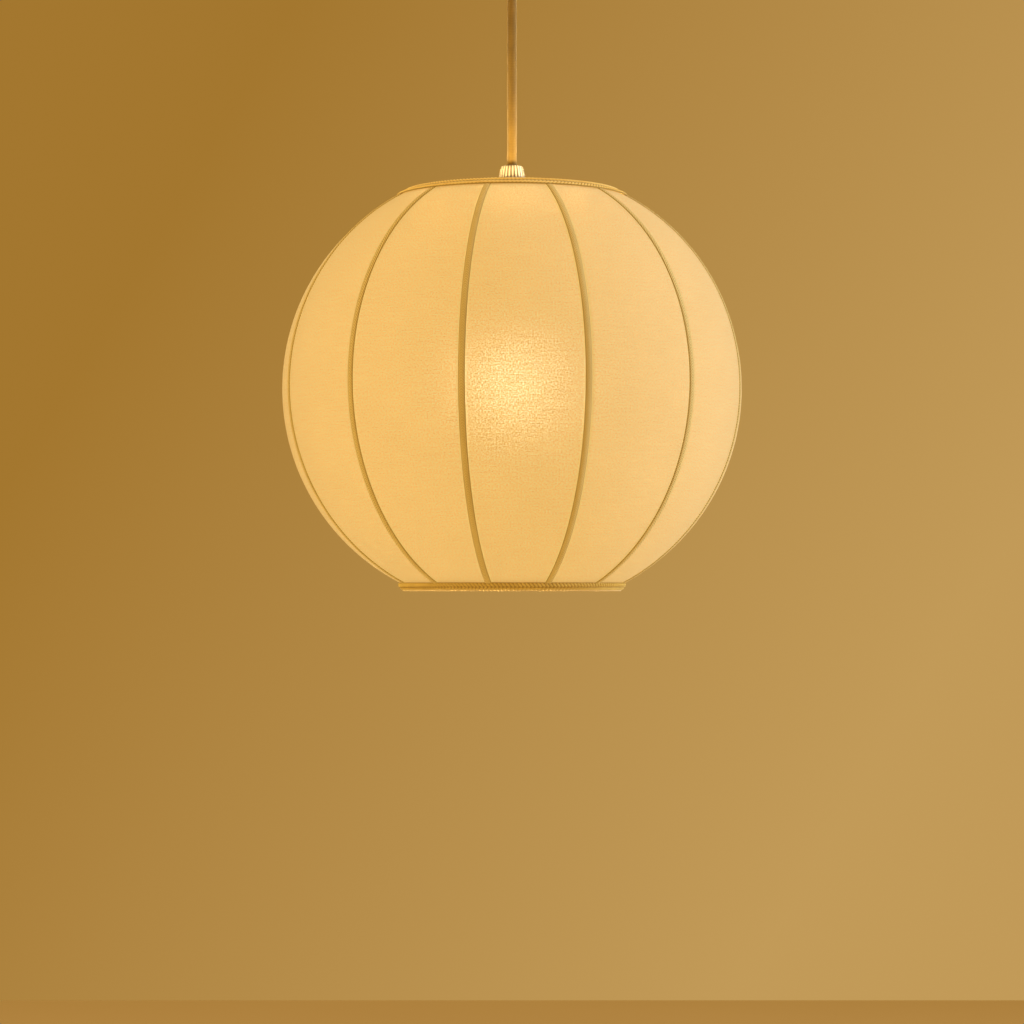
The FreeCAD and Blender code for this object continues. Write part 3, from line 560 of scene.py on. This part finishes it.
wall = gore.modifiers.new("cloth_wall", "SOLIDIFY")
wall.thickness = CLOTH_THICKNESS
wall.offset = -1.0
bpy.ops.object.modifier_apply(modifier=wall.name)
gore.data.materials.append(gore_cloth)
gores = [gore]
for number in range(2, RIBS + 1):
    gores.append(add_copy(gore, f"gore_cloth_{number:02d}", (number - 1) * RIB_STEP))
for number, panel in enumerate(gores, start=1):
    write_weave(panel, (number - 0.5) * RIB_STEP, 0.37 * number)
    rests = [f"rib_wire_{number:02d}", f"rib_wire_{number % RIBS + 1:02d}"]
    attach(panel, "shade")
    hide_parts(f"gore_panel_{number:02d}")


# ---------------------------------------------------------------- rib tapes
# Narrow twill tapes cover the seams from rim to rim. Each is stuck down over a rib and
# sewn along both edges with a running stitch of pale thread.
TAPE_BASE = MERIDIAN + 0.0001
TAPE_WIDTH = 0.0043
TAPE_THICKNESS = 0.0008
TAPE_TOP_RISE = 0.12573
TAPE_FOOT_DROP = 0.12609
TAPE_TOP = math.asin(TAPE_TOP_RISE / TAPE_BASE) + TAPE_THICKNESS / MERIDIAN
TAPE_FOOT = math.asin(TAPE_FOOT_DROP / TAPE_BASE) + TAPE_THICKNESS / MERIDIAN
TAPE_STEPS = 110
STITCH_PITCH = 0.0026
STITCH_LENGTH = 0.0017
STITCH_THREAD = 0.00019
STITCH_SIDE = 0.00152
STITCH_PROUD = 0.00062
STITCH_HOLD = 0.00050
TWILL_PITCH = 0.0017
TAPE_DARK = (0.43, 0.30, 0.070, 1.0)
TAPE_LIGHT = (1.0, 0.84, 0.38, 1.0)
THREAD_DARK = (0.62, 0.41, 0.16, 1.0)
THREAD_LIGHT = (0.88, 0.68, 0.34, 1.0)
arc_middle = (ARC_OFFSET, 0.0, GLOBE_MIDDLE)
tape_turn = TAPE_TOP + TAPE_FOOT


def pick(piece, test):
    """Selects the points of a piece in edit mode that pass a test of their place."""
    bpy.ops.mesh.select_mode(type="VERT")
    bpy.ops.mesh.select_all(action="DESELECT")
    bpy.ops.object.mode_set(mode="OBJECT")
    for point in piece.data.vertices:
        point.select = test(point.co)
    bpy.ops.object.mode_set(mode="EDIT")


def turn_down(piece, angle):
    """Turns a piece along the meridian, down towards the lower rim, about the arc's middle."""
    to_middle = Matrix.Translation(-Vector(arc_middle))
    piece.data.transform(to_middle.inverted() @ Matrix.Rotation(angle, 4, "Y") @ to_middle)


def write_twill(piece):
    """Writes where each corner lies across and along the tape, in metres."""
    mesh = piece.data
    twill = mesh.uv_layers.new(name="twill")
    for corner in mesh.loops:
        x, y, z = mesh.vertices[corner.vertex_index].co
        rise = math.atan2(z - GLOBE_MIDDLE, x - ARC_OFFSET)
        twill.data[corner.index].uv = (y, MERIDIAN * rise)


def make_tape_twill():
    """Twill in chevrons that meet along the tape's middle, with painted shade darkening both
    edges where they lift off the cloth.
    """
    finish, shader, place = new_finish(
        "tape_twill", {"Sheen Weight": 0.2, "Sheen Roughness": 0.5, "Specular IOR Level": 0.25}
    )
    lie = place.node("UVMap", 0, uv_map="twill")
    across = lie.axis("X")
    along = lie.axis("Y")
    slant = (along + across.size() * 1.1) * (2 * math.pi / TWILL_PITCH)
    ridge = slant.sine() * 0.5 + 0.5
    fray = lie.scaled((900.0, 900.0, 1.0)).noise(1.0, 2.0)
    shade = place.noise(30.0, 3.0)
    # Painted shade: the base colour darkens towards both edges of the tape.
    edge_shade = (across.size() * (2 / TAPE_WIDTH) - 0.62) / 0.3
    tone = ridge * 1.0 + fray * 0.6 + shade * 0.3 - 0.28 - edge_shade.limited() * 0.45
    tone.limited().mixed(TAPE_DARK, TAPE_LIGHT).into(shader.inputs["Base Color"])
    (0.72 + fray * 0.2).into(shader.inputs["Roughness"])
    add_relief(shader, ridge * 0.8 + fray * 0.4, 0.0002, 0.8)
    return finish


def make_thread(name, dark, light):
    """Twisted sewing thread."""
    finish, shader, place = new_finish(name, {"Sheen Weight": 0.3, "Specular IOR Level": 0.3})
    fluff = place.noise(1500.0, 2.0)
    fluff.mixed(dark, light).into(shader.inputs["Base Color"])
    (0.6 + fluff * 0.25).into(shader.inputs["Roughness"])
    add_relief(shader, fluff, 0.0001, 0.5)
    return finish


def join_up(main, *others):
    """Makes one piece of several; it keeps each one's material."""
    bpy.ops.object.select_all(action="DESELECT")
    for piece in (main, *others):
        piece.select_set(True)
    bpy.context.view_layer.objects.active = main
    bpy.ops.object.join()


tape_base = (ARC_OFFSET + TAPE_BASE, 0.0, GLOBE_MIDDLE)
tape = start_piece(
    "rib_tape_strip_01",
    bpy.ops.mesh.primitive_circle_add,
    vertices=20,
    radius=1.0,
    fill_type="NGON",
    location=tape_base,
    stretch=(TAPE_THICKNESS, TAPE_WIDTH / 2, 1.0),
)
pick(tape, lambda spot: spot.x < tape_base[0])
bpy.ops.transform.resize(value=(0.0, 1.0, 1.0), center_override=tape_base)
bpy.ops.mesh.select_all(action="SELECT")
turn_round(TAPE_STEPS, tape_turn, centre=arc_middle, axis=(0.0, -1.0, 0.0))
close_up()
turn_down(tape, TAPE_FOOT)
write_twill(tape)
tape.data.materials.append(make_tape_twill())

stitches = start_piece(
    "rib_tape_stitches",
    bpy.ops.mesh.primitive_cylinder_add,
    vertices=6,
    radius=STITCH_THREAD,
    depth=STITCH_LENGTH,
    location=(tape_base[0] + STITCH_PROUD, STITCH_SIDE, GLOBE_MIDDLE),
)
for end in (-1, 1):
    pick(stitches, lambda spot: (spot.z - GLOBE_MIDDLE) * end > 0)
    hold = (tape_base[0] + STITCH_HOLD, STITCH_SIDE, GLOBE_MIDDLE)
    bpy.ops.transform.resize(value=(0.35, 0.6, 1.0), center_override=hold)
bpy.ops.mesh.select_all(action="SELECT")
bpy.ops.mesh.duplicate()
bpy.ops.transform.translate(value=(0.0, -2 * STITCH_SIDE, 0.0))
bpy.ops.mesh.select_all(action="SELECT")
stitch_turn = STITCH_PITCH / MERIDIAN
stitch_count = int(tape_turn / stitch_turn) - 1
turn_round(
    stitch_count,
    stitch_count * stitch_turn,
    copies=True,
    centre=arc_middle,
    axis=(0.0, -1.0, 0.0),
)
close_up()
turn_down(stitches, -stitch_turn * 0.8)
turn_down(stitches, TAPE_FOOT)
stitches.data.materials.append(make_thread("tape_thread", THREAD_DARK, THREAD_LIGHT))
join_up(tape, stitches)
tapes = [tape]
for number in range(2, RIBS + 1):
    tapes.append(add_copy(tape, f"rib_tape_strip_{number:02d}", (number - 1) * RIB_STEP))
for number, strip in enumerate(tapes, start=1):
    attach(strip, "shade")
    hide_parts(f"rib_tape_{number:02d}")


# ---------------------------------------------------------------- rim braids
# A plaited braid binds the cloth's edge at each rim. Two rows of slanting strands meet in
# chevrons on a curved backing tape, and the lower rim has pale whip stitches below them,
# painted lighter for the lamp light falling on them. The yarn is given a painted glow of the
# lamp's light, and the top rim's yarn is painted lighter than the foot's for the light on it.
BACKING = 0.0005
STRAND_DEPTH = 0.00125
STRAND_SLANT = math.radians(40)
BRAID_STRANDS = 184
BRAID_STEPS = 144
BACKING_SIDES = 96
# Painted light: the colour of the lamp's glow that the braid yarn is given as emission.
YARN_GLOW = (1.0, 0.52, 0.10, 1.0)


def add_strand(name, place, along, outward, slant, sizes):
    """One fat strand on a braid that runs round at azimuth 0, slanting across the braid."""
    round_way = Vector((0.0, 1.0, 0.0))
    long_way = round_way * math.cos(slant) + along * math.sin(slant)
    wide_way = outward.cross(long_way)
    turned = Matrix((long_way, wide_way, outward)).transposed()
    strand = start_piece(
        name,
        bpy.ops.mesh.primitive_uv_sphere_add,
        segments=8,
        ring_count=5,
        radius=0.5,
        location=place,
        rotation=turned.to_euler(),
        stretch=sizes,
    )
    bpy.ops.object.mode_set(mode="OBJECT")
    return strand


def lay_round(strand, count):
    """Repeats a strand all the way round the rim."""
    bpy.ops.object.select_all(action="DESELECT")
    strand.select_set(True)
    bpy.context.view_layer.objects.active = strand
    bpy.ops.object.mode_set(mode="EDIT")
    bpy.ops.mesh.select_all(action="SELECT")
    step = 2 * math.pi / count
    turn_round(count - 1, 2 * math.pi - step, copies=True)
    close_up()


def make_backing(name, middle, reach, drop, cuts, finish):
    """A curved tape round the rim: part of an ellipse, between two cuts, turned once round."""
    backing = start_piece(
        name,
        bpy.ops.mesh.primitive_circle_add,
        vertices=BACKING_SIDES,
        radius=1.0,
        location=middle,
        rotation=(math.pi / 2, 0.0, 0.0),
        stretch=(reach, drop, 1.0),
    )
    for cut, way in cuts:
        bpy.ops.mesh.select_all(action="SELECT")
        bpy.ops.mesh.bisect(plane_co=cut, plane_no=way, clear_outer=True)
    bpy.ops.mesh.select_all(action="SELECT")
    turn_round(BRAID_STEPS, 2 * math.pi)
    close_up()
    wall = backing.modifiers.new("backing_wall", "SOLIDIFY")
    wall.thickness = BACKING
    wall.offset = -1.0
    bpy.ops.object.modifier_apply(modifier=wall.name)
    backing.data.materials.append(finish)
    return backing


def add_plait(backing, middle, reach, drop, rows, sizes, finish):
    """Two rows of strands on the backing, at two places round its ellipse, slanting two ways."""
    strands = []
    for angle, slant in rows:
        seat = Vector((reach * math.cos(angle), 0.0, drop * math.sin(angle)))
        outward = Vector((math.cos(angle) / reach, 0.0, math.sin(angle) / drop)).normalized()
        along = outward.cross(Vector((0.0, 1.0, 0.0)))
        place = Vector(middle) + seat + outward * STRAND_DEPTH * 0.15
        name = backing.name + "_row"
        strands.append(add_strand(name, place, along, outward, slant, sizes))
    join_up(*strands)
    lay_round(strands[0], BRAID_STRANDS)
    strands[0].data.materials.append(finish)
    join_up(backing, strands[0])


def make_braid_yarn(name, dark, light, lit_through):
    """Soft spun yarn: a fuzzy, uneven tone with fine twist, and a painted glow of the lamp's
    light through it.
    """
    finish, shader, place = new_finish(
        name,
        {
            "Sheen Weight": 0.25,
            "Sheen Roughness": 0.5,
            "Specular IOR Level": 0.25,
            "Emission Color": YARN_GLOW,
            "Emission Strength": lit_through,
        },
    )
    fibre = place.noise(2200.0, 2.0)
    patches = place.noise(120.0, 3.0)
    tone = (fibre * 0.6 + patches * 0.7 - 0.15).limited()
    tone.mixed(dark, light).into(shader.inputs["Base Color"])
    (0.7 + fibre * 0.2).into(shader.inputs["Roughness"])
    add_relief(shader, fibre, 0.00015, 0.6)
    return finish


BACKING_DARK = (0.32, 0.20, 0.042, 1.0)
BACKING_LIGHT = (0.56, 0.38, 0.095, 1.0)
# Painted light: the top rim's yarn is coloured lighter and glows more than the foot rim's, for
# the light that falls on it.
TOP_YARN_DARK = (0.78, 0.54, 0.15, 1.0)
TOP_YARN_LIGHT = (1.0, 0.88, 0.36, 1.0)
FOOT_YARN_DARK = (0.54, 0.37, 0.075, 1.0)
FOOT_YARN_LIGHT = (0.96, 0.78, 0.24, 1.0)
yarn_backing = make_braid_yarn("backing_tape", BACKING_DARK, BACKING_LIGHT, 0.05)
top_yarn = make_braid_yarn("top_yarn", TOP_YARN_DARK, TOP_YARN_LIGHT, 0.14)
foot_yarn = make_braid_yarn("foot_yarn", FOOT_YARN_DARK, FOOT_YARN_LIGHT, 0.02)

TOP_BACKING = MERIDIAN + 0.0007
TOP_BRAID_LOW = 0.0766
TOP_BRAID_HIGH = 0.0692
top_low_rise = math.sqrt(TOP_BACKING**2 - (TOP_BRAID_LOW - ARC_OFFSET) ** 2)
top_high_rise = math.sqrt(TOP_BACKING**2 - (TOP_BRAID_HIGH - ARC_OFFSET) ** 2)
top_low_turn = math.atan2(top_low_rise, TOP_BRAID_LOW - ARC_OFFSET)
top_high_turn = math.atan2(top_high_rise, TOP_BRAID_HIGH - ARC_OFFSET)
top_braid = make_backing(
    "top_rim_braid",
    arc_middle,
    TOP_BACKING,
    TOP_BACKING,
    (
        (arc_middle, (-1.0, 0.0, 0.0)),
        ((0.0, 0.0, GLOBE_MIDDLE + top_high_rise), (0.0, 0.0, 1.0)),
        ((0.0, 0.0, GLOBE_MIDDLE + top_low_rise), (0.0, 0.0, -1.0)),
    ),
    yarn_backing,
)
top_rows = (
    (top_low_turn * 0.70 + top_high_turn * 0.30, STRAND_SLANT),
    (top_low_turn * 0.10 + top_high_turn * 0.90, -STRAND_SLANT),
)
TOP_STRAND = (0.0052, 0.0017, 0.0019)
add_plait(top_braid, arc_middle, TOP_BACKING, TOP_BACKING, top_rows, TOP_STRAND, top_yarn)

FOOT_BRAID_RADIUS = 0.0697
FOOT_BRAID_DROP = 0.1264
foot_middle = (FOOT_BRAID_RADIUS, 0.0, GLOBE_MIDDLE - FOOT_BRAID_DROP)
FOOT_REACH = 0.0041
FOOT_DROP_DOWN = 0.0044
foot_braid = make_backing(
    "foot_rim_braid",
    foot_middle,
    FOOT_REACH,
    FOOT_DROP_DOWN,
    ((foot_middle, (-1.0, 0.0, 0.0)), (foot_middle, (0.0, 0.0, 1.0))),
    yarn_backing,
)
foot_rows = ((math.radians(-20), -STRAND_SLANT), (math.radians(-57), STRAND_SLANT))
FOOT_STRAND = (0.0040, 0.0015, STRAND_DEPTH)
add_plait(foot_braid, foot_middle, FOOT_REACH, FOOT_DROP_DOWN, foot_rows, FOOT_STRAND, foot_yarn)
for braid, node in ((top_braid, "top_braid"), (foot_braid, "bottom_braid")):
    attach(braid, "shade")
    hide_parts(node)

WHIP_SIZES = (0.0027, 0.0017, 0.0013)
whip = add_strand(
    "foot_whip_stitches",
    Vector(foot_middle) + Vector((0.0012, 0.0, -FOOT_DROP_DOWN - 0.0003)),
    Vector((0.5, 0.0, 0.5)).normalized(),
    Vector((0.5, 0.0, -0.5)).normalized(),
    math.radians(30),
    WHIP_SIZES,
)
lay_round(whip, BRAID_STRANDS)
# The whip thread is pale, and is painted lighter still for the lamp light that falls on the
# stitches from inside.
WHIP_DARK = (0.84, 0.62, 0.30, 1.0)
WHIP_LIGHT = (1.0, 0.88, 0.52, 1.0)
whip.data.materials.append(make_thread("whip_thread", WHIP_DARK, WHIP_LIGHT))
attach(whip, "shade")


# ---------------------------------------------------------------- room and light
# A pale floor well below the lantern and a plain background that is darker to the left. A
# large cool lamp shines from the right, warm weaker ones from the left, behind and above, and
# the lantern's own light comes through its two openings.
FLOOR_HEIGHT = -1.25
FLOOR_HALF = 4.1
FLOOR_DARK = (0.84, 0.72, 0.42, 1.0)
FLOOR_LIGHT = (0.90, 0.78, 0.48, 1.0)
ROOM_LEFT = (0.370, 0.185, 0.028, 1.0)
ROOM_RIGHT = (0.540, 0.325, 0.098, 1.0)

bpy.ops.object.select_all(action="DESELECT")
bpy.ops.mesh.primitive_plane_add(
    size=2 * FLOOR_HALF, location=(0.0, 0.0, FLOOR_HEIGHT), rotation=(0.0, 0.0, EYE_TURN)
)
floor = bpy.context.object
floor.name = "floor"
floor_finish, shader, place = new_finish("pale_floor", {"Roughness": 0.85})
floor_cloud = place.noise(1.5, 3.0)
floor_cloud.mixed(FLOOR_DARK, FLOOR_LIGHT).into(shader.inputs["Base Color"])
floor.data.materials.append(floor_finish)

world = bpy.data.worlds.new("room")
world.use_nodes = True
look = Field(world.node_tree).node("TexCoord", "Generated")
to_right = (math.cos(EYE_TURN), math.sin(EYE_TURN), -0.6)
across_room = look.node("VectorMath", 1, {0: look, 1: to_right}, operation="DOT_PRODUCT")
across_room = (across_room * 3.0 + 0.55).limited()
across_room.mixed(ROOM_LEFT, ROOM_RIGHT).into(world.node_tree.nodes["Background"].inputs["Color"])
scene.world = world


def add_lamp(name, place, aim, size, power, colour):
    """A square soft lamp that shines from its place towards a point and isn't seen itself."""
    lamp_data = bpy.data.lights.new(name, "AREA")
    lamp_data.energy = power
    lamp_data.size = size
    lamp_data.color = colour
    lamp = bpy.data.objects.new(name, lamp_data)
    lamp.location = place
    way = Vector(aim) - Vector(place)
    lamp.rotation_euler = way.to_track_quat("-Z", "Y").to_euler()
    lamp.visible_camera = False
    lamp.visible_transmission = False
    scene.collection.objects.link(lamp)


MIDDLE = (0.0, 0.0, GLOBE_MIDDLE)
WARM = (1.0, 0.78, 0.42)
DAYLIGHT = (0.74, 0.87, 1.0)
add_lamp("soft_right", (2.9, 0.5, 0.4), MIDDLE, 1.4, 56.0, DAYLIGHT)
add_lamp("soft_left", (-2.5, -1.5, 0.3), MIDDLE, 2.2, 36.0, WARM)
add_lamp("soft_behind", (-0.8, 2.8, 0.8), MIDDLE, 2.0, 10.0, WARM)
add_lamp("soft_above", (0.0, 0.0, 1.9), MIDDLE, 3.0, 18.0, WARM)
LANTERN_LIGHT = (1.0, 0.68, 0.30)
TOP_LIGHT_AT = (0.0, 0.0, GLOBE_MIDDLE + 0.118)
FOOT_LIGHT_AT = (0.0, 0.0, GLOBE_MIDDLE - 0.115)
add_lamp("through_top", TOP_LIGHT_AT, (0.0, 0.0, 0.0), 0.10, 0.7, LANTERN_LIGHT)
add_lamp("through_foot", FOOT_LIGHT_AT, (0.0, 0.0, -1.0), 0.08, 0.3, LANTERN_LIGHT)
